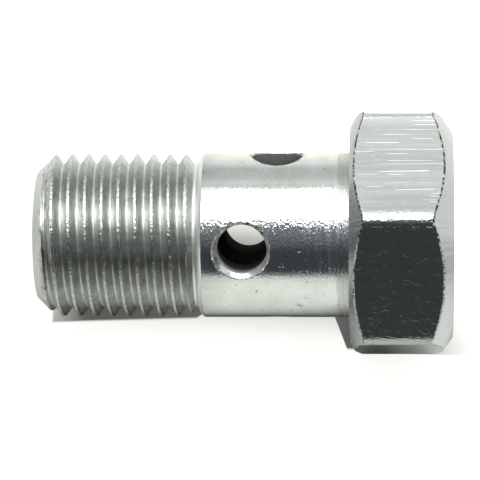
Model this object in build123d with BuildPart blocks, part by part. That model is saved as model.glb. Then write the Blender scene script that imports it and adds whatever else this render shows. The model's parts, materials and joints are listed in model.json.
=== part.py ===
from build123d import *
from math import atan2, cos, degrees, hypot, isclose, radians, sin, tan
import os

# A banjo bolt, also called a hollow union bolt, turned in one piece from hexagon bar.
# Sizes are in millimetres. It lies as it comes to rest on a table, on one flat of its
# head and the end of its thread. The origin is the middle of the bearing face under
# the head, +Z is up and the thread points towards -X.

# Head
width_across_flats = 14.0
head_height = 6.2
bar_corner_radius = 0.8         # the corners of the drawn hexagon bar are rounded
bearing_circle = 13.1           # where the chamfer under the head starts
bearing_chamfer_angle = 30.0    # from the bearing face
crown_circle = 12.4             # where the chamfer of the outer face starts
crown_chamfer_angle = 35.0      # from the outer face

# Thread and shank
under_head_length = 19.0
thread_diameter = 10.0          # M10 x 1, drawn at its outside diameter
thread_length = 9.3             # with its end chamfer
end_chamfer = 1.1               # at 45 degrees
relief_diameter = 8.75          # groove where the threading tool runs out
relief_flank = 0.33             # along the axis, from the groove's floor out to the thread
relief_width = 0.14             # of the floor
relief_wall = 0.11              # along the axis, from the floor up to the shank's chamfer
shank_end_chamfer = 0.27        # at 45 degrees
shank_diameter = 10.0

# Oil way: a blind bore from the thread end, met by two cross holes
bore_diameter = 4.5
bore_mouth_chamfer = 0.3
bore_end_wall = 2.4             # from the bearing face to the end of the bore's full width
drill_point_angle = 118.0
cross_hole_diameter = 3.0
cross_hole_chamfer = 0.25
upper_hole_distance = 4.45      # from the end of the plain shank
cross_hole_stagger = 2.0        # the lower hole lies this much further from the head
lower_hole_turn = 42.7          # round the bolt, up from level
cross_hole_spread = 87.0        # round the bolt, from the lower hole to the upper one

head_radius = width_across_flats / 2
corner_radius = head_radius / cos(radians(30))
bearing_slope = tan(radians(bearing_chamfer_angle))
crown_slope = tan(radians(crown_chamfer_angle))
thread_radius = thread_diameter / 2
relief_radius = relief_diameter / 2
shank_radius = shank_diameter / 2
bore_radius = bore_diameter / 2
cross_hole_radius = cross_hole_diameter / 2
thread_start = under_head_length - thread_length
relief_end = thread_start - relief_flank
relief_start = relief_end - relief_width
relief_edge = relief_start - relief_wall
shank_length = relief_edge - shank_end_chamfer
upper_hole_place = shank_length - upper_hole_distance
drill_point_length = bore_radius / tan(radians(drill_point_angle / 2))
cross_holes = (
    (upper_hole_place, lower_hole_turn + cross_hole_spread),
    (upper_hole_place + cross_hole_stagger, lower_hole_turn),
)

# The bolt leans until the start of its end chamfer meets the table its head lies on.
head_contact = -(head_radius - bearing_circle / 2) * bearing_slope
end_contact = under_head_length - end_chamfer
lean = degrees(atan2(head_radius - thread_radius, end_contact - head_contact))

# The bearing plane looks along the thread. In it X is level and Y is the way up.
along_thread = Vector(-cos(radians(lean)), 0, -sin(radians(lean)))
bearing = Plane(origin=(0, 0, 0), x_dir=(0, -1, 0), z_dir=along_thread)
bolt_axis = Axis(bearing.origin, bearing.z_dir)
# Turned outlines are half sections: radius along X, distance below the head along Y.
turning = Plane(bearing.origin, x_dir=bearing.x_dir, z_dir=-bearing.y_dir)


def on_shank_surface(edge):
    """True for an edge that starts on the outside of the shank."""
    start = bearing.to_local_coords(edge @ 0)
    return isclose(hypot(start.X, start.Y), shank_radius, abs_tol=0.01)


with BuildPart() as banjo_bolt:
    # Head: hexagon bar with both ends turned to a chamfer
    with BuildSketch(bearing.offset(-head_height)) as bar_section:
        RegularPolygon(head_radius, 6, major_radius=False)
        fillet(bar_section.vertices(), bar_corner_radius)
    extrude(amount=head_height)
    with BuildSketch(turning):
        Polygon(
            (0, 0),
            (bearing_circle / 2, 0),
            (corner_radius, -(corner_radius - bearing_circle / 2) * bearing_slope),
            (corner_radius, (corner_radius - crown_circle / 2) * crown_slope - head_height),
            (crown_circle / 2, -head_height),
            (0, -head_height),
            align=None,
        )
    revolve(axis=bolt_axis, mode=Mode.INTERSECT)

    # Shank, thread relief and thread, turned to their outside diameters
    with BuildSketch(turning):
        Polygon(
            (0, 0),
            (shank_radius, 0),
            (shank_radius, shank_length),
            (shank_radius - shank_end_chamfer, relief_edge),
            (relief_radius, relief_start),
            (relief_radius, relief_end),
            (thread_radius, thread_start),
            (thread_radius, under_head_length - end_chamfer),
            (thread_radius - end_chamfer, under_head_length),
            (0, under_head_length),
            align=None,
        )
    revolve(axis=bolt_axis)

    # Cross holes, drilled right through the shank, with their outer edges broken
    for distance, turn in cross_holes:
        centre = bolt_axis.position + bearing.z_dir * distance
        direction = bearing.x_dir.rotate(bolt_axis, turn)
        with BuildSketch(Plane(centre, x_dir=bearing.z_dir, z_dir=direction)):
            Circle(cross_hole_radius)
        extrude(amount=shank_diameter, both=True, mode=Mode.SUBTRACT)
        rims = banjo_bolt.edges(Select.NEW).filter_by(on_shank_surface)
        chamfer(rims, cross_hole_chamfer)

    # Bore, drilled from the thread end, with the drill's point and a chamfered mouth
    with BuildSketch(turning):
        Polygon(
            (0, bore_end_wall - drill_point_length),
            (bore_radius, bore_end_wall),
            (bore_radius, under_head_length - bore_mouth_chamfer),
            (bore_radius + bore_mouth_chamfer, under_head_length),
            (0, under_head_length),
            align=None,
        )
    revolve(axis=bolt_axis, mode=Mode.SUBTRACT)

banjo_bolt.part.label = "banjo_bolt"
os.makedirs("parts", exist_ok=True)
export_step(banjo_bolt.part, "parts/banjo_bolt.step")
print(f"lean {lean:.3f} degrees, volume {banjo_bolt.part.volume:.2f} mm3")
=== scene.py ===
import json
from math import atan, cos, pi, radians, sin, sqrt, tan

import bmesh
import bpy
from mathutils import Matrix, Vector, noise


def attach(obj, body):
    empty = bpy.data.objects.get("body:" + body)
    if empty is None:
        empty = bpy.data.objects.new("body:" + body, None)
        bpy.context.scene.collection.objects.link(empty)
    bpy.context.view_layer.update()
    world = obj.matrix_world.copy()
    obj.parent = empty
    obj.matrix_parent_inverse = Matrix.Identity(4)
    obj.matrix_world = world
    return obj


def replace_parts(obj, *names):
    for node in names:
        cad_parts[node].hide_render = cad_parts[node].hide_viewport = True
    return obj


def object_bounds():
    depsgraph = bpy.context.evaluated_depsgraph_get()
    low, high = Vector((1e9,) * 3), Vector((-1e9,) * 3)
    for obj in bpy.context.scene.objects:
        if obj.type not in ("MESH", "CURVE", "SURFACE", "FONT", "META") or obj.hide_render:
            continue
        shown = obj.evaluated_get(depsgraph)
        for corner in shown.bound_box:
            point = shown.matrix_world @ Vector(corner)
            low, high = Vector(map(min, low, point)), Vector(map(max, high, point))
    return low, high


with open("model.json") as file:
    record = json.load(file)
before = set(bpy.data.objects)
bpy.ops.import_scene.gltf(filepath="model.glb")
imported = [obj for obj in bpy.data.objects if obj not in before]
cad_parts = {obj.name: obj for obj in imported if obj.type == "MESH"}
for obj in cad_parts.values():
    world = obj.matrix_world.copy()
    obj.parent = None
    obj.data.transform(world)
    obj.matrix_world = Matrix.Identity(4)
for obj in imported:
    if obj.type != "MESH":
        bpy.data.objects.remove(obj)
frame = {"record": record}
cad_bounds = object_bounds()

# ---------------------------------------------------------------- the bolt's place
# The bolt is one turned piece of zinc-plated steel. It lies on a flat of its head and the
# end of its thread. Every mesh is made about the bolt's own axis: X is level, Y is the way
# up and Z runs along the thread from the bearing face under the head.
mm = 0.001
mounts = {mount["name"]: mount for mount in frame["record"]["mounts"]}
along_thread = Vector(mounts["bearing_face"]["axis"]).normalized()
level = Vector((0, -1, 0))
upward = along_thread.cross(level)
bolt_place = Matrix((level, upward, along_thread)).transposed().to_4x4()
bolt_place.translation = Vector(mounts["bearing_face"]["pos_m"])

# ---------------------------------------------------------------- head
# Hexagon bar, cold drawn, with rounded corners. Both ends were turned to a chamfer, which
# leaves an arc at each end of every flat, with the burr that the tool pushed up along it.
head_radius = 7.0 * mm
head_height = Vector(mounts["crown_face"]["pos_m"]).length
corner_round = 0.8 * mm
bearing_circle = 6.55 * mm
bearing_slope = tan(radians(30))
crown_circle = 6.2 * mm
crown_slope = tan(radians(35))
arc_wander = 0.025 * mm
arc_fineness = 14
burr_height = 0.05 * mm
burr_width = 0.07 * mm
burr_fineness = 48
dark_edge = 0.08 * mm
steps_round = 480
corner_crowding = 0.6
crown_end = (-head_height, crown_circle, crown_slope, (1.7, 3.1))
bearing_end = (0.0, bearing_circle, -bearing_slope, (5.3, 7.7))
straight_up = 90
highlight_corner_side = 120
DRAWN, FACED, EDGE, TURNED, THREAD, DRILLED, BROKEN = range(7)


def step_angle(step):
    """The angle of a step round the axis. Steps crowd together at the six corners."""
    even = 2 * pi * step / steps_round
    return even - corner_crowding * sin(6 * even) / 6


def bar_radius(angle):
    """From the axis to the outside of the bar, whose corners are at multiples of 60 degrees."""
    from_corner = (angle + pi / 6) % (pi / 3) - pi / 6
    round_centre = (head_radius - corner_round) / cos(pi / 6)
    round_ends = pi / 6 - atan(tan(pi / 6) * (head_radius - corner_round) / head_radius)
    if abs(from_corner) < round_ends:
        across = round_centre * sin(from_corner)
        return round_centre * cos(from_corner) + sqrt(corner_round**2 - across**2)
    return head_radius / cos(pi / 6 - abs(from_corner))


def ragged(angle, seed, fineness):
    """An uneven number from about -1 to 1, which comes round to the same value."""
    spot = Vector((cos(angle), sin(angle), seed)) * fineness
    return noise.noise(spot) + 0.6 * noise.noise(spot * 3.1)


def arc(face, circle, slope, seeds, inset):
    """The rule for a ring on the drawn bar, at an inset from the arc that a chamfer leaves."""
    def place(angle):
        radius = bar_radius(angle)
        wander = arc_wander * ragged(angle, seeds[0], arc_fineness)
        lift = burr_height * max(0.0, ragged(angle, seeds[1], burr_fineness)) if inset == 0 else 0.0
        return radius + lift, face + (radius - circle) * slope + wander + inset
    return place


def cone_side(ring, slope):
    """The rule for a ring on a chamfer, just inside its arc."""
    def place(angle):
        radius, distance = ring(angle)
        return radius - dark_edge, distance - dark_edge * slope
    return place


def between(ring, other_ring, share):
    """The rule for a ring that lies a share of the way from one ring to another."""
    def place(angle):
        radius, distance = ring(angle)
        other_radius, other_distance = other_ring(angle)
        return (
            radius + (other_radius - radius) * share,
            distance + (other_distance - distance) * share,
        )
    return place


crown_arc, crown_in = arc(*crown_end, 0.0), arc(*crown_end, burr_width)
bearing_arc, bearing_in = arc(*bearing_end, 0.0), arc(*bearing_end, -burr_width)
head_rings = [(FACED, (crown_circle * share, -head_height)) for share in (0, 0.3, 0.6, 0.9, 1)]
head_rings += [(FACED, cone_side(crown_arc, crown_slope)), (EDGE, crown_arc), (EDGE, crown_in)]
head_rings += [(DRAWN, between(crown_in, bearing_in, share / 6)) for share in range(1, 7)]
head_rings += [(EDGE, bearing_arc), (EDGE, cone_side(bearing_arc, -bearing_slope))]
head_rings += [(FACED, (bearing_circle, 0.0))]


def reckon(tree, operation, *values):
    """A maths node on these values and sockets, and its result."""
    node = tree.nodes.new("ShaderNodeMath")
    node.operation = operation
    for socket, value in zip(node.inputs, values):
        if isinstance(value, (int, float)):
            socket.default_value = value
        else:
            tree.links.new(value, socket)
    return node.outputs[0]


def stretch(tree, value, low, high, start=0.0, reach=1.0):
    """From start to reach as the value goes from low to high, and level beyond."""
    node = tree.nodes.new("ShaderNodeMapRange")
    given = {"Value": value, "From Min": low, "From Max": high, "To Min": start, "To Max": reach}
    for name, number in given.items():
        if isinstance(number, (int, float)):
            node.inputs[name].default_value = number
        else:
            tree.links.new(number, node.inputs[name])
    return node.outputs["Result"]


def bolt_millimetres(tree):
    """Object coordinates turned to the bolt's own axes, in millimetres."""
    where = tree.nodes.new("ShaderNodeTexCoord")
    turn = tree.nodes.new("ShaderNodeMapping")
    turn.inputs["Rotation"].default_value = bolt_place.to_3x3().inverted().to_euler()
    turn.inputs["Scale"].default_value = (1 / mm, 1 / mm, 1 / mm)
    tree.links.new(where.outputs["Object"], turn.inputs["Vector"])
    return turn.outputs["Vector"]


def grain(tree, place, per_mm, detail=3.0, turned=(0, 0, 0)):
    """Noise that repeats this many times a millimetre along X, Y and Z, from 0 to 1."""
    turn = tree.nodes.new("ShaderNodeMapping")
    turn.vector_type = "TEXTURE"
    turn.inputs["Rotation"].default_value = turned
    turn.inputs["Scale"].default_value = [1 / number for number in per_mm]
    tree.links.new(place, turn.inputs["Vector"])
    cloud = tree.nodes.new("ShaderNodeTexNoise")
    cloud.inputs["Scale"].default_value = 1.0
    cloud.inputs["Detail"].default_value = detail
    cloud.inputs["Roughness"].default_value = 0.6
    tree.links.new(turn.outputs["Vector"], cloud.inputs["Vector"])
    return cloud.outputs["Fac"]


def hairlines(tree, place, per_mm, turned, width, share):
    """Thin broken lines: 1 on a line and 0 off it. Share is how much of their length shows."""
    field = grain(tree, place, per_mm, 0.0, turned)
    off_line = reckon(tree, "ABSOLUTE", reckon(tree, "SUBTRACT", field, 0.5))
    line = stretch(tree, off_line, 0.0, width, 1.0, 0.0)
    patches = grain(tree, place, [number * 0.9 + 0.25 for number in per_mm], 1.0)
    return reckon(tree, "MULTIPLY", line, stretch(tree, patches, 1 - share, 1.04 - share))


def tinted(tree, share, low_colour, high_colour):
    """A colour between two, by a share."""
    mix = tree.nodes.new("ShaderNodeMix")
    mix.data_type = "RGBA"
    tree.links.new(share, mix.inputs["Factor"])
    mix.inputs["A"].default_value = (*low_colour, 1)
    mix.inputs["B"].default_value = (*high_colour, 1)
    return mix.outputs["Result"]


def darkened(tree, colour, mask, to):
    """The colour, multiplied by a grey where the mask is 1."""
    mix = tree.nodes.new("ShaderNodeMix")
    mix.data_type = "RGBA"
    mix.blend_type = "MULTIPLY"
    tree.links.new(mask, mix.inputs["Factor"])
    tree.links.new(colour, mix.inputs["A"])
    mix.inputs["B"].default_value = (to, to, to, 1)
    return mix.outputs["Result"]


def lightened(tree, colour, mask, to):
    """The colour, changed to another where the mask is 1."""
    mix = tree.nodes.new("ShaderNodeMix")
    mix.data_type = "RGBA"
    tree.links.new(mask, mix.inputs["Factor"])
    tree.links.new(colour, mix.inputs["A"])
    if isinstance(to, tuple):
        mix.inputs["B"].default_value = (*to, 1)
    else:
        tree.links.new(to, mix.inputs["B"])
    return mix.outputs["Result"]


def relief(tree, height, depth, under=None):
    """Bump: a height from 0 to 1 is this deep in metres."""
    bump = tree.nodes.new("ShaderNodeBump")
    bump.inputs["Distance"].default_value = depth
    tree.links.new(height, bump.inputs["Height"])
    if under:
        tree.links.new(under, bump.inputs["Normal"])
    return bump.outputs["Normal"]


def new_metal(name):
    """A bare metal material: the material, its tree, its shader and the place on the bolt."""
    material = bpy.data.materials.new(name)
    material.use_nodes = True
    tree = material.node_tree
    shader = tree.nodes["Principled BSDF"]
    shader.inputs["Metallic"].default_value = 1.0
    return material, tree, shader, bolt_millimetres(tree)


def from_axis(tree, place):
    """How far a point lies from the bolt's axis."""
    split = tree.nodes.new("ShaderNodeSeparateXYZ")
    tree.links.new(place, split.inputs[0])
    squares = [reckon(tree, "MULTIPLY", split.outputs[name], split.outputs[name]) for name in "XY"]
    return reckon(tree, "SQRT", reckon(tree, "ADD", *squares))


def way_along(tree, place):
    """How far a point lies along the axis, from the bearing face towards the thread."""
    split = tree.nodes.new("ShaderNodeSeparateXYZ")
    tree.links.new(place, split.inputs[0])
    return split.outputs["Z"]


def toward(tree, place, turn):
    """How far a point lies from the axis, towards this many degrees round it, up from level."""
    way = tree.nodes.new("ShaderNodeVectorMath")
    way.operation = "DOT_PRODUCT"
    way.inputs[1].default_value = (cos(radians(turn)), sin(radians(turn)), 0)
    tree.links.new(place, way.inputs[0])
    return way.outputs["Value"]


def dress(tree, shader, colour, roughness, surface):
    """Give a shader its colour, its roughness and its bump."""
    tree.links.new(colour, shader.inputs["Base Color"])
    if isinstance(roughness, float):
        shader.inputs["Roughness"].default_value = roughness
    else:
        tree.links.new(roughness, shader.inputs["Roughness"])
    tree.links.new(surface, shader.inputs["Normal"])


def drawn_bar():
    """Flats as they left the drawing die: lengthwise lines, handling scratches, worn corners. The top flat
    is painted lighter as a reflection, the low corners are painted darker as shade, and one top corner has
    a painted highlight.
    """
    material, tree, shader, place = new_metal("drawn_bar")
    radius = from_axis(tree, place)
    height = toward(tree, place, straight_up)
    streaks = stretch(tree, grain(tree, place, (1.6, 1.6, 0.04), 4.0), 0.3, 0.7)
    # painted reflection: the top flat's colour is lighter than the other flats'
    painted_top = stretch(tree, height, 6.2, 6.9, 0.2, 1.0)
    colour = tinted(tree, reckon(tree, "MULTIPLY", streaks, painted_top), (0.62, 0.67, 0.65), (0.82, 0.84, 0.84))
    lines = grain(tree, place, (7, 7, 0.05), 5.0)
    long_marks = hairlines(tree, place, (1.1, 1.1, 0.03), (0, 0, 0), 0.012, 0.42)
    fine_marks = hairlines(tree, place, (2.6, 2.6, 0.035), (0, 0, 0), 0.03, 0.43)
    marks = reckon(tree, "MULTIPLY", reckon(tree, "MAXIMUM", long_marks, fine_marks), painted_top)
    one_way = hairlines(tree, place, (0.8, 1.6, 1.9), (0.5, 0.3, 0.9), 0.008, 0.42)
    other_way = hairlines(tree, place, (1.6, 1.8, 0.9), (0.2, 1.1, 0.4), 0.008, 0.42)
    scratches = reckon(tree, "MAXIMUM", one_way, other_way)
    pits = stretch(tree, grain(tree, place, (5, 5, 4), 2.0), 0.66, 0.72)
    worn = stretch(tree, radius, 7.78, 7.86)
    dents = reckon(tree, "SUBTRACT", grain(tree, place, (7, 7, 5), 2.0), 0.5)
    rough_corner = reckon(tree, "MULTIPLY", dents, worn)
    surface = relief(tree, lines, 0.0007 * mm)
    surface = relief(tree, marks, 0.0045 * mm, surface)
    surface = relief(tree, scratches, -0.0016 * mm, surface)
    surface = relief(tree, pits, -0.002 * mm, surface)
    surface = relief(tree, rough_corner, 0.035 * mm, surface)
    colour = darkened(tree, colour, pits, 0.7)
    # painted shade: corners from level down are darker
    painted_low_side = stretch(tree, height, 3.0, 1.0)
    colour = darkened(tree, colour, reckon(tree, "MULTIPLY", worn, painted_low_side), 0.62)
    # painted highlight: a pale streaked strip along the top back corner
    corner_highlight = stretch(tree, toward(tree, place, highlight_corner_side), 7.3, 7.75)
    colour = lightened(tree, colour, reckon(tree, "MULTIPLY", corner_highlight, streaks), (0.96, 0.97, 0.96))
    dress(tree, shader, colour, stretch(tree, lines, 0.3, 0.7, 0.10, 0.16), surface)
    return material


def faced_steel():
    """Ends of the head as they left the lathe tool: fine rings round the axis. Painted shade darkens the
    upper side, most on the bearing chamfer next to the shank.
    """
    material, tree, shader, place = new_metal("faced_steel")
    rings = tree.nodes.new("ShaderNodeCombineXYZ")
    tree.links.new(from_axis(tree, place), rings.inputs["X"])
    tool = grain(tree, rings.outputs[0], (9, 1, 1), 4.0)
    speckle = grain(tree, place, (8, 8, 8), 3.0)
    colour = tinted(tree, stretch(tree, tool, 0.3, 0.7), (0.53, 0.55, 0.555), (0.68, 0.71, 0.715))
    height = toward(tree, place, straight_up)
    # painted shade: darker towards the top
    colour = darkened(tree, colour, stretch(tree, height, 2.5, 5.5), 0.88)
    # painted shade: the upper half of the bearing chamfer, next to the shank, is darker still
    painted_top = stretch(tree, height, 0.5, 4.0)
    by_shank = stretch(tree, way_along(tree, place), -1.6, -1.2)
    colour = darkened(tree, colour, reckon(tree, "MULTIPLY", painted_top, by_shank), 0.72)
    surface = relief(tree, tool, 0.006 * mm)
    surface = relief(tree, speckle, 0.001 * mm, surface)
    dress(tree, shader, colour, stretch(tree, speckle, 0.3, 0.7, 0.2, 0.3), surface)
    return material


def burred_edge():
    """The torn edge along each arc, dark and light in torn patches, with a painted highlight that makes it
    lighter on the low side.
    """
    material, tree, shader, place = new_metal("burred_edge")
    # painted highlight: lighter towards the bottom
    painted_low_side = stretch(tree, toward(tree, place, straight_up), 6.5, 5.0, 0.0, 0.1)
    torn = reckon(tree, "ADD", grain(tree, place, (4, 4, 4), 5.0), painted_low_side)
    torn = stretch(tree, torn, 0.45, 0.64)
    colour = tinted(tree, torn, (0.02, 0.022, 0.02), (0.72, 0.74, 0.72))
    surface = relief(tree, grain(tree, place, (7, 7, 7), 2.0), 0.12 * mm)
    dress(tree, shader, colour, 0.25, surface)
    return material


# ---------------------------------------------------------------- shank
# Plain turned length that the banjo eye sits on, with a bevel down to the relief groove
# where the threading tool ran out. A short band next to the head is rougher, and painted darker as shade
# next to the head.
thread_middle = Vector(mounts["thread"]["pos_m"]).length
thread_half = mounts["thread"]["dims"]["length_mm"] * mm / 2
relief_flank = 0.33 * mm
relief_width = 0.14 * mm
relief_wall = 0.11 * mm
relief_radius = 4.375 * mm
thread_start = thread_middle - thread_half - relief_flank
relief_start = thread_start - relief_width
shank_end_chamfer = 0.27 * mm
shank_length = relief_start - relief_wall - shank_end_chamfer
shank_radius = 5.0 * mm
corner_break = 0.02 * mm
shank_rings = 20
shank_profile = [(TURNED, (shank_radius, shank_length * k / shank_rings)) for k in range(shank_rings)]
shank_profile += [
    (TURNED, (shank_radius, shank_length - corner_break)),
    (TURNED, (shank_radius - corner_break, shank_length + corner_break)),
    (TURNED, (shank_radius - shank_end_chamfer, shank_length + shank_end_chamfer)),
    (TURNED, (relief_radius, relief_start)),
]
dull_shaded_band = 0.72
band_wobble = 0.06
band_edge = 0.05
crackled_side = 56
sheen_side = 41


def turned_steel():
    """Turned and plated: marks round the shank, and a fine grain that breaks up reflections. A painted
    reflection lightens a band round the front, and painted shade darkens the band next to the head.
    """
    material, tree, shader, place = new_metal("turned_steel")
    along = way_along(tree, place)
    marks = grain(tree, place, (0.6, 0.6, 9), 4.0)
    near_head = stretch(tree, along, 3.6, 2.6)
    deep_marks = reckon(tree, "MULTIPLY", grain(tree, place, (0.35, 0.35, 6), 3.0), near_head)
    crackled = stretch(tree, toward(tree, place, crackled_side), 4.82, 4.94, 0.3, 1.0)
    plating = reckon(tree, "MULTIPLY", grain(tree, place, (5, 5, 12), 1.0), crackled)
    flecks = stretch(tree, grain(tree, place, (5, 5, 5), 3.0), 0.71, 0.77)
    scratches = hairlines(tree, place, (1.2, 1.0, 0.9), (0.4, 0.8, 0.2), 0.007, 0.38)
    nicks = hairlines(tree, place, (1.5, 1.5, 1.1), (0.9, 0.3, 1.2), 0.03, 0.37)
    # painted reflection: a pale bluish band round the front of the shank
    painted_sheen = stretch(tree, toward(tree, place, sheen_side), 4.7, 4.78)
    nicks = reckon(tree, "SUBTRACT", nicks, reckon(tree, "MULTIPLY", nicks, painted_sheen))
    # A rougher band next to the head, its colour painted darker as shade
    wobble = stretch(tree, grain(tree, place, (1, 1, 1)), 0.3, 0.7, -band_wobble, band_wobble)
    past_band = reckon(tree, "SUBTRACT", reckon(tree, "ADD", along, wobble), dull_shaded_band)
    dull_and_shaded = stretch(tree, past_band, -band_edge, band_edge, 1.0, 0.0)
    worn_end = stretch(tree, along, 7.4, 8.6)
    tint = stretch(tree, grain(tree, place, (0.7, 0.7, 1.0)), 0.35, 0.65)
    colour = tinted(tree, tint, (0.68, 0.71, 0.64), (0.75, 0.77, 0.78))
    colour = lightened(tree, colour, reckon(tree, "MULTIPLY", painted_sheen, 0.75), (0.92, 0.93, 0.98))
    colour = darkened(tree, colour, flecks, 0.55)
    colour = darkened(tree, colour, nicks, 0.25)
    colour = darkened(tree, colour, dull_and_shaded, 0.76)
    colour = darkened(tree, colour, worn_end, 0.84)
    groove = stretch(tree, along, shank_length / mm, shank_length / mm + 0.1)
    colour = lightened(tree, colour, groove, (0.86, 0.88, 0.86))
    end_face = stretch(tree, along, 18.5, 18.6)
    colour = darkened(tree, colour, end_face, 0.72)
    surface = relief(tree, marks, 0.007 * mm)
    surface = relief(tree, deep_marks, 0.02 * mm, surface)
    surface = relief(tree, plating, 0.032 * mm, surface)
    surface = relief(tree, scratches, -0.006 * mm, surface)
    surface = relief(tree, nicks, -0.006 * mm, surface)
    surface = relief(tree, flecks, -0.02 * mm, surface)
    rough = stretch(tree, marks, 0.3, 0.7, 0.08, 0.15)
    scored = stretch(tree, deep_marks, 0.4, 0.62)
    for mask, more in ((dull_and_shaded, 0.10), (worn_end, 0.07), (groove, 0.28), (scored, 0.12)):
        rough = reckon(tree, "MULTIPLY_ADD", mask, more, rough)
    dress(tree, shader, colour, rough, surface)
    return material


# ---------------------------------------------------------------- thread
# M10 x 1, right-hand, cut down the turned blank with a single-point tool. The crests are
# torn and a little burred, and the roots are narrow and round.
end_chamfer = 1.1 * mm
under_head = thread_middle + thread_half + end_chamfer
thread_end = under_head - 0.4 * mm
outside_radius = 4.95 * mm
thread_depth = 0.57 * mm
pitch = 1.0 * mm
crest_half = 0.07 * mm
root_round = 0.09 * mm
flank_slope = radians(60)
crest_tear = 0.045 * mm
tears_round = 14.0
tears_along = 900
tear_level = 0.62
run_out_slope = 1.7
weld_distance = 0.002 * mm
shaded_side = 23
blank_radius = mounts["thread"]["dims"]["r_mm"] * mm
first_crest = under_head - 0.03 * mm
first_crest_angle = radians(142.3)
rows_per_turn = 14
crest_edge = 1 / rows_per_turn
root_edge = 4 / rows_per_turn


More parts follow.
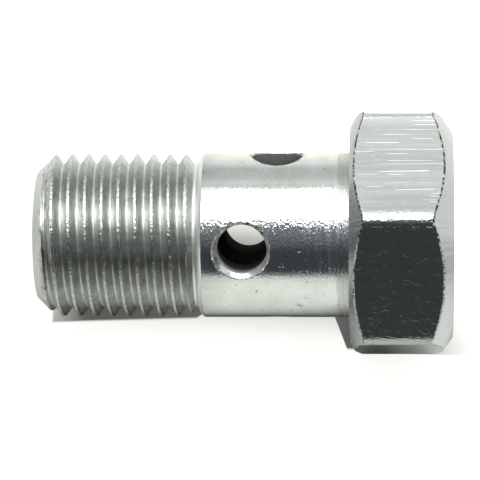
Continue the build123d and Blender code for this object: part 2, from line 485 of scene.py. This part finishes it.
def thread_tree():
    """Geometry Nodes for a cut thread: a grid rolled round the axis and sheared along the helix."""
    tree = bpy.data.node_groups.new("cut_thread", "GeometryNodeTree")
    sizes = {
        "Start": thread_start,
        "End": thread_end,
        "Blank Radius": blank_radius,
        "Blank End": under_head,
        "End Chamfer": end_chamfer,
        "Relief Radius": relief_radius,
        "Outside Radius": outside_radius,
        "Depth": thread_depth,
        "Pitch": pitch,
        "Crest Half Width": crest_half,
        "Root Radius": root_round,
        "First Crest": first_crest,
        "First Crest Angle": first_crest_angle,
        "Crest Tear": crest_tear,
    }
    for name, value in sizes.items():
        socket = tree.interface.new_socket(name, in_out="INPUT", socket_type="NodeSocketFloat")
        socket.default_value = value
    tree.interface.new_socket("Material", in_out="INPUT", socket_type="NodeSocketMaterial")
    tree.interface.new_socket("Geometry", in_out="OUTPUT", socket_type="NodeSocketGeometry")
    given = tree.nodes.new("NodeGroupInput").outputs
    turns = int((thread_end - thread_start) / pitch) + 3
    grid = tree.nodes.new("GeometryNodeMeshGrid")
    grid.inputs["Size X"].default_value = 1.0
    grid.inputs["Size Y"].default_value = turns
    grid.inputs["Vertices X"].default_value = steps_round + 1
    grid.inputs["Vertices Y"].default_value = turns * rows_per_turn + 1
    position = tree.nodes.new("GeometryNodeInputPosition")
    split = tree.nodes.new("ShaderNodeSeparateXYZ")
    tree.links.new(position.outputs[0], split.inputs[0])

    # Round the axis, with the steps crowded as they are on the head
    even = reckon(tree, "MULTIPLY", reckon(tree, "ADD", split.outputs["X"], 0.5), 2 * pi)
    wave = reckon(tree, "SINE", reckon(tree, "MULTIPLY", even, 6))
    angle = reckon(tree, "SUBTRACT", even, reckon(tree, "MULTIPLY", wave, corner_crowding / 6))

    # Along one pitch: 0 at a crest, 0.5 at the roots on both sides of it
    row = reckon(tree, "ADD", split.outputs["Y"], turns / 2)
    whole = reckon(tree, "ROUND", row)
    off_crest = reckon(tree, "SUBTRACT", row, whole)
    away = reckon(tree, "ABSOLUTE", off_crest)
    half_pitch = reckon(tree, "MULTIPLY", given["Pitch"], 0.5)
    root_width = reckon(tree, "MULTIPLY", given["Root Radius"], sin(flank_slope))
    root_rise = reckon(tree, "MULTIPLY", given["Root Radius"], 1 - cos(flank_slope))
    foot = reckon(tree, "SUBTRACT", half_pitch, root_width)
    flank_width = reckon(tree, "SUBTRACT", foot, given["Crest Half Width"])
    flank_depth = reckon(tree, "SUBTRACT", given["Depth"], root_rise)
    slope = stretch(tree, away, root_edge, 0.5, flank_slope, 0.0)
    root_step = reckon(tree, "MULTIPLY", given["Root Radius"], reckon(tree, "SINE", slope))
    root_drop = reckon(tree, "MULTIPLY", given["Root Radius"], reckon(tree, "COSINE", slope))
    root_floor = reckon(tree, "SUBTRACT", given["Depth"], given["Root Radius"])
    flank_left = stretch(tree, away, crest_edge, root_edge, flank_width, 0)
    crest_left = stretch(tree, away, 0, crest_edge, given["Crest Half Width"], 0)
    still_left = reckon(tree, "ADD", root_step, reckon(tree, "ADD", flank_left, crest_left))
    step_out = reckon(tree, "SUBTRACT", half_pitch, still_left)
    step_along = reckon(tree, "MULTIPLY", step_out, reckon(tree, "SIGN", off_crest))
    deep = reckon(tree, "ADD", root_floor, root_drop)
    inward = reckon(tree, "SUBTRACT", deep, stretch(tree, away, crest_edge, root_edge, flank_depth, 0))

    # The helix: a whole pitch further along for each turn round the axis
    turn = reckon(tree, "DIVIDE", reckon(tree, "SUBTRACT", angle, given["First Crest Angle"]), 2 * pi)
    turns_along = reckon(tree, "SUBTRACT", reckon(tree, "ADD", turn, 1), whole)
    way_on = reckon(tree, "MULTIPLY", given["Pitch"], turns_along)
    crest_at = reckon(tree, "ADD", given["First Crest"], way_on)
    along = reckon(tree, "SUBTRACT", crest_at, step_along)
    along = reckon(tree, "MINIMUM", reckon(tree, "MAXIMUM", along, given["Start"]), given["End"])

    # Torn crests, and the blank that was there before the thread was cut
    rolled = tree.nodes.new("ShaderNodeCombineXYZ")
    tree.links.new(reckon(tree, "COSINE", angle), rolled.inputs["X"])
    tree.links.new(reckon(tree, "SINE", angle), rolled.inputs["Y"])
    tree.links.new(reckon(tree, "MULTIPLY", along, tears_along), rolled.inputs["Z"])
    tear = tree.nodes.new("ShaderNodeTexNoise")
    tear.inputs["Scale"].default_value = tears_round
    tear.inputs["Detail"].default_value = 3.0
    tree.links.new(rolled.outputs[0], tear.inputs["Vector"])
    near_crest = stretch(tree, away, root_edge, 0.0, 0, given["Crest Tear"])
    rough = reckon(tree, "MULTIPLY", reckon(tree, "SUBTRACT", tear.outputs["Fac"], tear_level), near_crest)
    cut = reckon(tree, "ADD", reckon(tree, "SUBTRACT", given["Outside Radius"], inward), rough)
    chamfer_foot = reckon(tree, "SUBTRACT", given["Blank Radius"], given["End Chamfer"])
    chamfered = reckon(tree, "ADD", chamfer_foot, reckon(tree, "SUBTRACT", given["Blank End"], along))
    past_start = reckon(tree, "SUBTRACT", along, given["Start"])
    bevel = reckon(tree, "MULTIPLY", past_start, run_out_slope)
    bevelled = reckon(tree, "ADD", given["Relief Radius"], bevel)
    radius = reckon(tree, "MINIMUM", cut, reckon(tree, "MINIMUM", chamfered, bevelled))

    place = tree.nodes.new("ShaderNodeCombineXYZ")
    tree.links.new(reckon(tree, "MULTIPLY", radius, reckon(tree, "COSINE", angle)), place.inputs["X"])
    tree.links.new(reckon(tree, "MULTIPLY", radius, reckon(tree, "SINE", angle)), place.inputs["Y"])
    tree.links.new(along, place.inputs["Z"])
    roll = tree.nodes.new("GeometryNodeSetPosition")
    tree.links.new(grid.outputs["Mesh"], roll.inputs["Geometry"])
    tree.links.new(place.outputs[0], roll.inputs["Position"])
    weld = tree.nodes.new("GeometryNodeMergeByDistance")
    weld.inputs["Distance"].default_value = weld_distance
    tree.links.new(roll.outputs[0], weld.inputs["Geometry"])
    realize = tree.nodes.new("GeometryNodeRealizeInstances")
    tree.links.new(weld.outputs[0], realize.inputs[0])
    paint = tree.nodes.new("GeometryNodeSetMaterial")
    tree.links.new(realize.outputs[0], paint.inputs["Geometry"])
    tree.links.new(given["Material"], paint.inputs["Material"])
    out = tree.nodes.new("NodeGroupOutput")
    tree.links.new(paint.outputs[0], out.inputs[0])
    return tree


def cut_thread():
    """Cut and plated: greyer than the shank, with torn specks along the crests. Painted shade darkens the
    top and the side facing front, and a painted highlight lightens the roots.
    """
    material, tree, shader, place = new_metal("cut_thread")
    radius = from_axis(tree, place)
    streaks = grain(tree, place, (1.5, 1.5, 12), 4.0)
    plating = grain(tree, place, (7, 7, 9), 4.0)
    crest = stretch(tree, radius, 4.78, 4.88)
    tears = grain(tree, place, (6, 6, 9), 3.0)
    torn = reckon(tree, "MULTIPLY", tears, crest)
    dirt = stretch(tree, grain(tree, place, (2.2, 2.2, 3), 4.0), 0.48, 0.68)
    first_turn = stretch(tree, way_along(tree, place), 17.7, 18.3)
    chips = stretch(tree, grain(tree, place, (4, 4, 6), 3.0), 0.66, 0.72)
    colour = tinted(tree, grain(tree, place, (0.8, 0.8, 0.8)), (0.57, 0.59, 0.56), (0.67, 0.69, 0.66))
    colour = darkened(tree, colour, dirt, 0.70)
    colour = darkened(tree, colour, reckon(tree, "MULTIPLY", dirt, first_turn), 0.45)
    # painted shade: darker on the top and on the side facing front, just above level
    for side, shade in ((straight_up, 0.82), (shaded_side, 0.63)):
        facing = reckon(tree, "DIVIDE", toward(tree, place, side), radius)
        colour = darkened(tree, colour, stretch(tree, facing, 0.95, 0.99), shade)
    root = stretch(tree, radius, 4.40, 4.46, 1.0, 0.0)
    # painted highlight: the roots are lighter
    colour = lightened(tree, colour, reckon(tree, "MULTIPLY", root, 0.3), (0.86, 0.88, 0.86))
    beads = tinted(tree, stretch(tree, tears, 0.45, 0.58), (0.32, 0.34, 0.32), (0.90, 0.92, 0.90))
    colour = lightened(tree, colour, reckon(tree, "MULTIPLY", crest, 0.35), beads)
    surface = relief(tree, streaks, 0.002 * mm)
    surface = relief(tree, plating, 0.004 * mm, surface)
    surface = relief(tree, torn, 0.045 * mm, surface)
    surface = relief(tree, chips, -0.03 * mm, surface)
    rough = stretch(tree, plating, 0.3, 0.7, 0.27, 0.38)
    for mask, more in ((crest, -0.14), (root, 0.05)):
        rough = reckon(tree, "MULTIPLY_ADD", mask, more, rough)
    dress(tree, shader, colour, rough, surface)
    return material


def evaluated_mesh(piece):
    """The piece's mesh with its modifiers applied."""
    seen = piece.evaluated_get(bpy.context.evaluated_depsgraph_get())
    return bpy.data.meshes.new_from_object(seen)


thread_finish = cut_thread()
blank = bpy.data.objects.new("thread_blank", bpy.data.meshes.new("thread_blank"))
bpy.context.scene.collection.objects.link(blank)
cutting = blank.modifiers.new("thread", "NODES")
cutting.node_group = thread_tree()
inputs = {socket.name: socket.identifier for socket in cutting.node_group.interface.items_tree}
cutting[inputs["Material"]] = thread_finish
bpy.context.view_layer.update()
thread_mesh = evaluated_mesh(blank)
bpy.data.objects.remove(blank)

# ---------------------------------------------------------------- oil bore
# Blind hole drilled up the axis from the thread end, with the drill's point at its floor and
# a broken edge at its mouth. Oil reaches the cross holes through it.
bore_radius = mounts["oil_bore"]["dims"]["r_mm"] * mm
bore_length = mounts["oil_bore"]["dims"]["length_mm"] * mm
bore_floor = Vector(mounts["oil_bore"]["pos_m"]).length - bore_length / 2
bore_mouth = bore_floor + bore_length
mouth_chamfer = under_head - bore_mouth
point_angle = radians(118)
drill_point = bore_radius / tan(point_angle / 2)
bore_rings = 10
chamfer_foot = blank_radius - end_chamfer
end_rings = [
    (THREAD, (chamfer_foot + under_head - thread_end, thread_end)),
    (TURNED, (chamfer_foot, under_head)),
    (FACED, (bore_radius + mouth_chamfer, under_head)),
    (BROKEN, (bore_radius, bore_mouth)),
]
end_rings += [
    (DRILLED, (bore_radius, bore_mouth - bore_length * k / bore_rings))
    for k in range(1, bore_rings + 1)
]
end_rings += [(DRILLED, (0.0, bore_floor - drill_point))]


def drilled_wall():
    """Wall left by a drill. Its colour is painted black inside as shade, and painted lighter towards the
    upper mouths and on the front side as light.
    """
    material, tree, shader, place = new_metal("drilled_wall")
    marks = grain(tree, place, (3, 3, 5), 4.0)
    # painted light towards the upper mouths, painted shade deeper in
    near_mouth = stretch(tree, from_axis(tree, place), 3.4, 4.9)
    painted_top = stretch(tree, toward(tree, place, straight_up), 0.0, 2.0)
    lit_near_mouth = reckon(tree, "MULTIPLY", near_mouth, painted_top)
    # painted light: the wall on the front side is much lighter
    lit_front = stretch(tree, toward(tree, place, 0), -2.0, 2.0)
    lit_wall = tinted(tree, marks, (0.09, 0.10, 0.085), (0.20, 0.21, 0.19))
    lit_wall = lightened(tree, lit_wall, lit_front, (0.62, 0.63, 0.58))
    shaded_inside = tinted(tree, marks, (0.025, 0.026, 0.022), (0.06, 0.062, 0.055))
    shader.inputs["Metallic"].default_value = 0.0
    shader.inputs["Specular IOR Level"].default_value = 0.0
    dress(tree, shader, lightened(tree, shaded_inside, lit_near_mouth, lit_wall), 0.8, relief(tree, marks, 0.02 * mm))
    return material


def broken_edge():
    """Edge of a hole, broken by a hand-held countersink."""
    material, tree, shader, place = new_metal("broken_edge")
    chatter = grain(tree, place, (1.8, 1.8, 1.8), 3.0)
    shade = stretch(tree, chatter, 0.4, 0.55)
    colour = tinted(tree, shade, (0.36, 0.37, 0.42), (0.78, 0.80, 0.78))
    dress(tree, shader, colour, 0.3, relief(tree, chatter, 0.025 * mm))
    return material


finishes = [drawn_bar(), faced_steel(), burred_edge(), turned_steel()]
finishes += [thread_finish, drilled_wall(), broken_edge()]


def turn_rings(mesh, rings):
    """Skin a list of rings round the axis. A ring is a radius and a distance, or a rule for them."""
    angles = [step_angle(step) for step in range(steps_round)]
    last = None
    for finish, rule in rings:
        if not callable(rule) and rule[0] == 0:
            row = [mesh.verts.new((0, 0, rule[1]))]
        else:
            row = []
            for angle in angles:
                radius, distance = rule(angle) if callable(rule) else rule
                row.append(mesh.verts.new((radius * cos(angle), radius * sin(angle), distance)))
        if last:
            for step in range(steps_round):
                after = (step + 1) % steps_round
                if len(last) == 1:
                    corners = (last[0], row[after], row[step])
                elif len(row) == 1:
                    corners = (last[step], last[after], row[0])
                else:
                    corners = (last[step], last[after], row[after], row[step])
                mesh.faces.new(corners).material_index = finish
        last = row


turned = bmesh.new()
turned.from_mesh(thread_mesh)
for face in turned.faces:
    face.material_index = THREAD
turn_rings(turned, head_rings + shank_profile + [(TURNED, (relief_radius, thread_start))])
turn_rings(turned, end_rings)
bmesh.ops.remove_doubles(turned, verts=turned.verts, dist=weld_distance)
bmesh.ops.recalc_face_normals(turned, faces=turned.faces)
body_mesh = bpy.data.meshes.new("banjo_bolt_body")
turned.to_mesh(body_mesh)
turned.free()
body = bpy.data.objects.new("banjo_bolt_body", body_mesh)
for finish in finishes:
    body.data.materials.append(finish)
bpy.context.scene.collection.objects.link(body)

# ---------------------------------------------------------------- cross holes
# Two holes drilled right through the shank into the bore. Their edges were broken by hand,
# so the bevel is wider on one side than on the other.
edge_wander = 0.2
edge_fineness = 1.3
burr_side = radians(105)
burr_spread = radians(56.6)
clear = 0.6 * mm
outline = 0.07 * mm
hole_steps = 96
outer_bands, wall_band = (1, 7), 4


def drill(name, hole_edge, edge_bend, edge_lean, wide_side):
    """A cutter for one cross hole: the drill, and at each mouth the tool that breaks the edge."""
    mount = mounts[name]
    hole_radius = mount["dims"]["r_mm"] * mm
    out = (bolt_place.inverted().to_3x3() @ Vector(mount["axis"])).normalized()
    centre = bolt_place.inverted() @ Vector(mount["pos_m"])
    bolt_way = Vector((0, 0, 1))
    side = bolt_way.cross(out)
    cutter = bmesh.new()
    rows = []
    bend = hole_edge * edge_bend
    rim = (hole_edge - outline, outline * bend / hole_edge)
    profile = ((0.0, hole_edge), (bend, bend), rim, (hole_edge, 0.0), (hole_edge + clear, -clear))
    for face in (-1, 1):
        mouth_rows = []
        seed = centre.z / mm + face
        for reach, depth in profile:
            row = []
            for step in range(hole_steps):
                angle = 2 * pi * step / hole_steps
                lean = edge_lean * cos(angle - wide_side)
                uneven = 1 + lean + edge_wander * ragged(angle, seed, edge_fineness)
                radius = hole_radius + reach * uneven
                across = radius * sin(angle)
                height = sqrt(shank_radius**2 - across**2) - depth * uneven
                row.append(centre + bolt_way * radius * cos(angle) + side * across + out * face * height)
            mouth_rows.append(row)
        rows += mouth_rows if face == 1 else mouth_rows[::-1]
    made = [[cutter.verts.new(spot) for spot in row] for row in rows]
    for band, (row, next_row) in enumerate(zip(made, made[1:])):
        for step in range(hole_steps):
            after = (step + 1) % hole_steps
            skin = cutter.faces.new((row[step], row[after], next_row[after], next_row[step]))
            burred = cos(2 * pi * (step + 0.5) / hole_steps - burr_side) > cos(burr_spread)
            torn = burred or band in outer_bands
            skin.material_index = DRILLED if band == wall_band else EDGE if torn else BROKEN
    cutter.faces.new(made[0])
    cutter.faces.new(made[-1])
    bmesh.ops.recalc_face_normals(cutter, faces=cutter.faces)
    mesh = bpy.data.meshes.new(name)
    cutter.to_mesh(mesh)
    cutter.free()
    tool = bpy.data.objects.new(name, mesh)
    bpy.context.scene.collection.objects.link(tool)
    return tool


hole_edges = (
    ("upper_cross_hole", 0.16 * mm, 0.28, 0.6, radians(-90)),
    ("lower_cross_hole", 0.27 * mm, 0.45, 0.3, radians(-50)),
)
for name, hole_edge, edge_bend, edge_lean, wide_side in hole_edges:
    tool = drill(name, hole_edge, edge_bend, edge_lean, wide_side)
    for finish in finishes:
        tool.data.materials.append(finish)
    cut = body.modifiers.new(name, "BOOLEAN")
    cut.operation = "DIFFERENCE"
    cut.solver = "EXACT"
    cut.object = tool
    bpy.context.view_layer.update()
    drilled = evaluated_mesh(body)
    body.modifiers.remove(cut)
    body.data = drilled
    bpy.data.objects.remove(tool)

crease = radians(24)
body.data.transform(bolt_place)
for polygon in body.data.polygons:
    polygon.use_smooth = True
body.data.set_sharp_from_angle(angle=crease)
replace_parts(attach(body, "root"), "banjo_bolt")

# ---------------------------------------------------------------- table, lamps and camera
# White paper on a table and swept up behind the bolt, two softboxes overhead, a pale wall
# beyond them and a dark room in front.
table_height = cad_bounds[0][2]
table_reach = 0.6
camera_glow = 0.90
near_glow = 0.27
far_glow = 0.45
paper_glow = (0.98, 1.0, 0.96)
head_half = 8.0 * mm
end_margin = 2.5 * mm
shade_place = (-19 * mm, 0.0)
shade_edge = (-2.03 * mm, -4.15 * mm)
shade_end = -17.6 * mm
groove_place = (-8.9 * mm, -8.4 * mm)
groove_step = -0.4 * mm
deepest_shade = 0.02
lit_paper = (-110 * mm, -45 * mm)
paper_colours = ((0.15, 0.15, 0.14), (0.63, 0.635, 0.59))


def white_paper():
    """White paper. It glows for the camera and for reflections, less so close to the bolt."""
    paper = bpy.data.materials.new("white_paper")
    paper.use_nodes = True
    tree = paper.node_tree
    shader = tree.nodes["Principled BSDF"]
    shader.inputs["Roughness"].default_value = 0.9
    where = tree.nodes.new("ShaderNodeTexCoord")
    split = tree.nodes.new("ShaderNodeSeparateXYZ")
    tree.links.new(where.outputs["Object"], split.inputs[0])
    sideways, back = split.outputs["X"], split.outputs["Y"]

    # How far outside the bolt a point lies, seen from above
    half = stretch(tree, sideways, -0.5 * mm, 0.5 * mm, shank_radius, head_half)
    beside = reckon(tree, "SUBTRACT", reckon(tree, "ABSOLUTE", back), half)
    past_crown = reckon(tree, "SUBTRACT", sideways, cad_bounds[1][0] - end_margin)
    past_thread = reckon(tree, "SUBTRACT", cad_bounds[0][0] + end_margin, sideways)
    outside = reckon(tree, "MAXIMUM", beside, reckon(tree, "MAXIMUM", past_crown, past_thread))

    # The glow gives way to the bolt's shadow, which is deepest under the front of the thread
    in_front = stretch(tree, back, -3 * mm, 3 * mm, 1.0, 0.0)
    behind_shade = stretch(tree, outside, -1 * mm, 4 * mm, 0.1, 1.0)
    past_groove = stretch(tree, sideways, *groove_place, 0.0, groove_step)
    under_thread = stretch(tree, sideways, *shade_place, *shade_edge)
    front_edge = reckon(tree, "ADD", under_thread, past_groove)
    past_end = reckon(tree, "SUBTRACT", shade_end, sideways)
    past_edge = reckon(tree, "MAXIMUM", reckon(tree, "SUBTRACT", beside, front_edge), past_end)
    front_shade = stretch(tree, past_edge, 0.1 * mm, 0.3 * mm, deepest_shade, 1.0)
    under_front = reckon(tree, "MULTIPLY", in_front, front_shade)
    for_camera = reckon(tree, "MULTIPLY", reckon(tree, "MAXIMUM", under_front, behind_shade), camera_glow)
    reach = stretch(tree, sideways, -12 * mm, -8.5 * mm, 14 * mm, 2.5 * mm)
    contact = stretch(tree, outside, -1.5 * mm, reach)
    front_part = stretch(tree, back, -80 * mm, -20 * mm, 0.0, near_glow)
    back_part = stretch(tree, back, 4 * mm, 12 * mm, 0.0, far_glow)
    both_parts = reckon(tree, "MULTIPLY_ADD", front_part, in_front, back_part)
    for_mirrors = reckon(tree, "MULTIPLY", contact, both_parts)
    # The paper's own colour is painted darker in the bolt's shadow under its front, and far in front of
    # the bolt
    open_paper = reckon(tree, "MAXIMUM", front_shade, reckon(tree, "SUBTRACT", 1.0, in_front))
    pale = reckon(tree, "MULTIPLY", stretch(tree, back, *lit_paper), open_paper)
    tree.links.new(tinted(tree, pale, *paper_colours), shader.inputs["Base Color"])

    rays = tree.nodes.new("ShaderNodeLightPath").outputs
    mirrored = reckon(tree, "MAXIMUM", rays["Is Glossy Ray"], rays["Is Transmission Ray"])
    mirror_glow = reckon(tree, "MULTIPLY", mirrored, for_mirrors)
    glow = tree.nodes.new("ShaderNodeEmission")
    strength = reckon(tree, "MULTIPLY_ADD", rays["Is Camera Ray"], for_camera, mirror_glow)
    glow.inputs["Color"].default_value = (*paper_glow, 1)
    tree.links.new(strength, glow.inputs["Strength"])
    both = tree.nodes.new("ShaderNodeAddShader")
    tree.links.new(shader.outputs[0], both.inputs[0])
    tree.links.new(glow.outputs[0], both.inputs[1])
    tree.links.new(both.outputs[0], tree.nodes["Material Output"].inputs["Surface"])
    return paper


sides = (-table_reach, table_reach)
table_mesh = bpy.data.meshes.new("table")
table_corners = [(sides[0], sides[0]), (sides[1], sides[0]), (sides[1], sides[1]), (sides[0], sides[1])]
table_mesh.from_pydata([(x, y, table_height) for x, y in table_corners], [], [(0, 1, 2, 3)])
table = bpy.data.objects.new("table", table_mesh)
table.data.materials.append(white_paper())
bpy.context.scene.collection.objects.link(table)

lamp_height = 0.30
softboxes = (("bright_softbox", 73.5, 97.0, 0.3, 4.8), ("soft_softbox", 97.0, 121.5, 0.5, 1.4))
for name, near_angle, far_angle, length, strength in softboxes:
    near_edge = -lamp_height / tan(radians(near_angle))
    far_edge = -lamp_height / tan(radians(far_angle))
    lamp = bpy.data.lights.new(name, "AREA")
    lamp.shape = "RECTANGLE"
    lamp.size = length
    lamp.size_y = far_edge - near_edge
    lamp.energy = strength * pi * lamp.size * lamp.size_y
    softbox = bpy.data.objects.new(name, lamp)
    softbox.location = (0, (near_edge + far_edge) / 2, lamp_height)
    bpy.context.scene.collection.objects.link(softbox)

world = bpy.data.worlds.new("studio")
bpy.context.scene.world = world
world.use_nodes = True
tree = world.node_tree
where = tree.nodes.new("ShaderNodeTexCoord")
split = tree.nodes.new("ShaderNodeSeparateXYZ")
tree.links.new(where.outputs["Generated"], split.inputs[0])
walls = tree.nodes.new("ShaderNodeValToRGB")
tree.links.new(reckon(tree, "MULTIPLY_ADD", split.outputs["Y"], 0.5, 0.5), walls.inputs[0])
wall_stops = (
    (0.06, (0.043, 0.047, 0.050)),
    (0.14, (0.105, 0.109, 0.120)),
    (0.22, (0.155, 0.165, 0.172)),
    (0.36, (0.200, 0.210, 0.218)),
    (0.46, (0.60, 0.62, 0.60)),
    (0.78, (0.62, 0.64, 0.62)),
    (0.83, (0.88, 0.90, 0.88)),
    (0.88, (0.62, 0.64, 0.62)),
    (1.00, (0.58, 0.61, 0.60)),
)
sweep_colour = (1.05, 1.06, 1.05)
for place, _ in wall_stops[2:]:
    walls.color_ramp.elements.new(place)
for stop, (place, colour) in zip(walls.color_ramp.elements, wall_stops):
    stop.position = place
    stop.color = (*colour, 1)
low = stretch(tree, split.outputs["Z"], 0.32, 0.06)
swept = reckon(tree, "MULTIPLY", low, stretch(tree, split.outputs["Y"], 0.3, 0.6))
room = tree.nodes.new("ShaderNodeMix")
room.data_type = "RGBA"
tree.links.new(swept, room.inputs["Factor"])
tree.links.new(walls.outputs["Color"], room.inputs["A"])
room.inputs["B"].default_value = (*sweep_colour, 1)
tree.links.new(room.outputs["Result"], tree.nodes["Background"].inputs["Color"])

picture_width = 480
lens_pixels = 2954
view_distance = 180.2 * mm
view_height = radians(53.7)
view_turn = 0.0528
aim_along = 6.729 * mm
aim_below = 0.309 * mm
facing = level * cos(view_height) + upward * sin(view_height)
picture_up = upward * cos(view_height) - level * sin(view_height)
aim = bolt_place.translation + along_thread * aim_along - picture_up * aim_below
back = facing * cos(view_turn) - along_thread * sin(view_turn)
right = picture_up.cross(back).normalized()
camera = bpy.data.objects.new("camera", bpy.data.cameras.new("camera"))
eye = aim + back * view_distance
camera.matrix_world = Matrix.Translation(eye) @ Matrix((right, picture_up, back)).transposed().to_4x4()
camera.data.lens = camera.data.sensor_width * lens_pixels / picture_width
camera.data.clip_start = 0.01
bpy.context.scene.collection.objects.link(camera)
bpy.context.scene.camera = camera
bpy.context.scene.view_settings.view_transform = "Standard"
